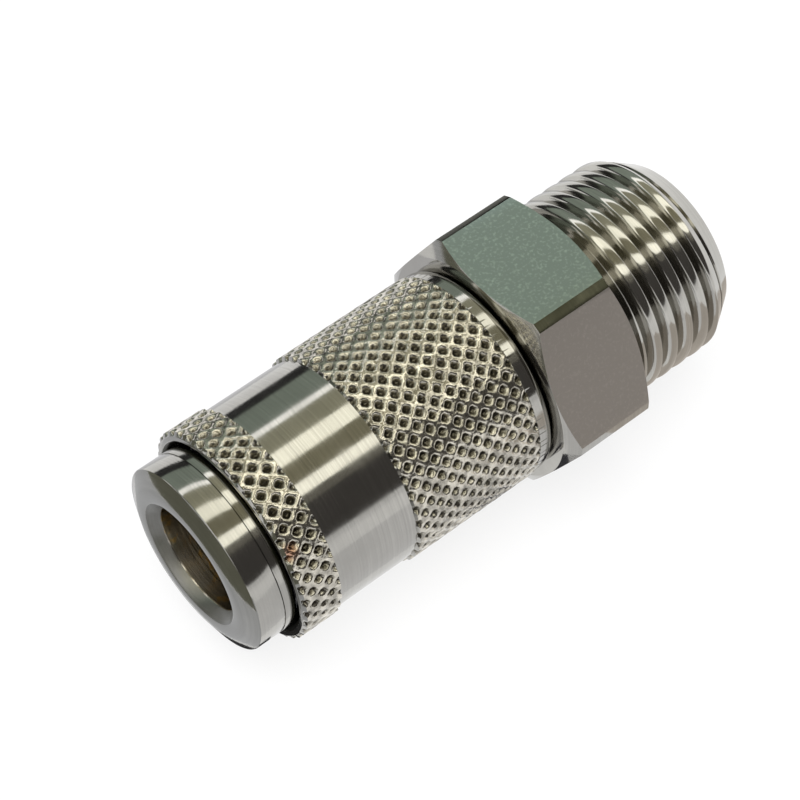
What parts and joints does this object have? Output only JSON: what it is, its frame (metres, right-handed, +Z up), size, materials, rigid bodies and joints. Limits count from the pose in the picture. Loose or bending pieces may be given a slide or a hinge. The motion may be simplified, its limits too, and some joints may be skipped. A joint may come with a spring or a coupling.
{
  "type": "pneumatic quick coupling",
  "caption": "Small push-in air coupling: knurled release sleeve over a ball lock, shut-off valve inside, hex and male pipe thread behind.",
  "frame": {"origin": "on the coupling's axis, at the rear face of the hex, where the male thread starts", "axes": "+X along the axis, out through the male thread; -X out through the nose, where the plug goes in; +Z up, square to a hex flat"},
  "size_m": [0.0266, 0.0124, 0.011],
  "materials": {
    "nickel_brass": "nickel plated, bright turned",
    "turned_brass": "turned, unplated",
    "ball_steel": "ground and polished",
    "spring_steel": "drawn wire",
    "seal_rubber": "matte"
  },
  "bodies": {
    "valve_body": {"nose_body": "nickel_brass", "hex_adapter": "nickel_brass", "spring_ring": "nickel_brass", "plug_seal": "seal_rubber", "valve_spring": "spring_steel"},
    "spring_end": {"sleeve_spring": "spring_steel"},
    "sleeve": {"sleeve": "nickel_brass"},
    "valve": {"valve_piston": "turned_brass", "valve_seal": "seal_rubber"},
    "ball_1": {"ball_1": "ball_steel"},
    "ball_2": {"ball_2": "ball_steel"},
    "ball_3": {"ball_3": "ball_steel"},
    "ball_4": {"ball_4": "ball_steel"},
    "ball_5": {"ball_5": "ball_steel"},
    "ball_6": {"ball_6": "ball_steel"}
  },
  "joints": [
    {"name": "sleeve_slide", "type": "slide", "parent": "valve_body", "child": "spring_end", "axis": [-1, 0, 0], "range_m": [0, 0.002], "stiffness_N_per_m": 400, "springref_m": -0.006, "deforming": ["sleeve_spring"]},
    {"name": "sleeve_spin", "type": "hinge", "parent": "spring_end", "child": "sleeve", "pos_m": [-0.011, 0, 0], "axis": [1, 0, 0], "continuous": true},
    {"name": "valve_slide", "type": "slide", "parent": "valve_body", "child": "valve", "axis": [1, 0, 0], "range_m": [0, 0.002], "stiffness_N_per_m": 320, "springref_m": -0.004, "deforming": ["valve_spring"]},
    {"name": "ball_1_slide", "type": "slide", "parent": "valve_body", "child": "ball_1", "axis": [0, 0, 1], "range_m": [0, 0.00041]},
    {"name": "ball_2_slide", "type": "slide", "parent": "valve_body", "child": "ball_2", "axis": [0, -0.866, 0.5], "range_m": [0, 0.00041]},
    {"name": "ball_3_slide", "type": "slide", "parent": "valve_body", "child": "ball_3", "axis": [0, -0.866, -0.5], "range_m": [0, 0.00041]},
    {"name": "ball_4_slide", "type": "slide", "parent": "valve_body", "child": "ball_4", "axis": [0, 0, -1], "range_m": [0, 0.00041]},
    {"name": "ball_5_slide", "type": "slide", "parent": "valve_body", "child": "ball_5", "axis": [0, 0.866, -0.5], "range_m": [0, 0.00041]},
    {"name": "ball_6_slide", "type": "slide", "parent": "valve_body", "child": "ball_6", "axis": [0, 0.866, 0.5], "range_m": [0, 0.00041]}
  ],
  "couplings": [
    {"joint": "ball_1_slide", "follows": "sleeve_slide", "ratio": 0.2},
    {"joint": "ball_2_slide", "follows": "sleeve_slide", "ratio": 0.2},
    {"joint": "ball_3_slide", "follows": "sleeve_slide", "ratio": 0.2},
    {"joint": "ball_4_slide", "follows": "sleeve_slide", "ratio": 0.2},
    {"joint": "ball_5_slide", "follows": "sleeve_slide", "ratio": 0.2},
    {"joint": "ball_6_slide", "follows": "sleeve_slide", "ratio": 0.2}
  ]
}
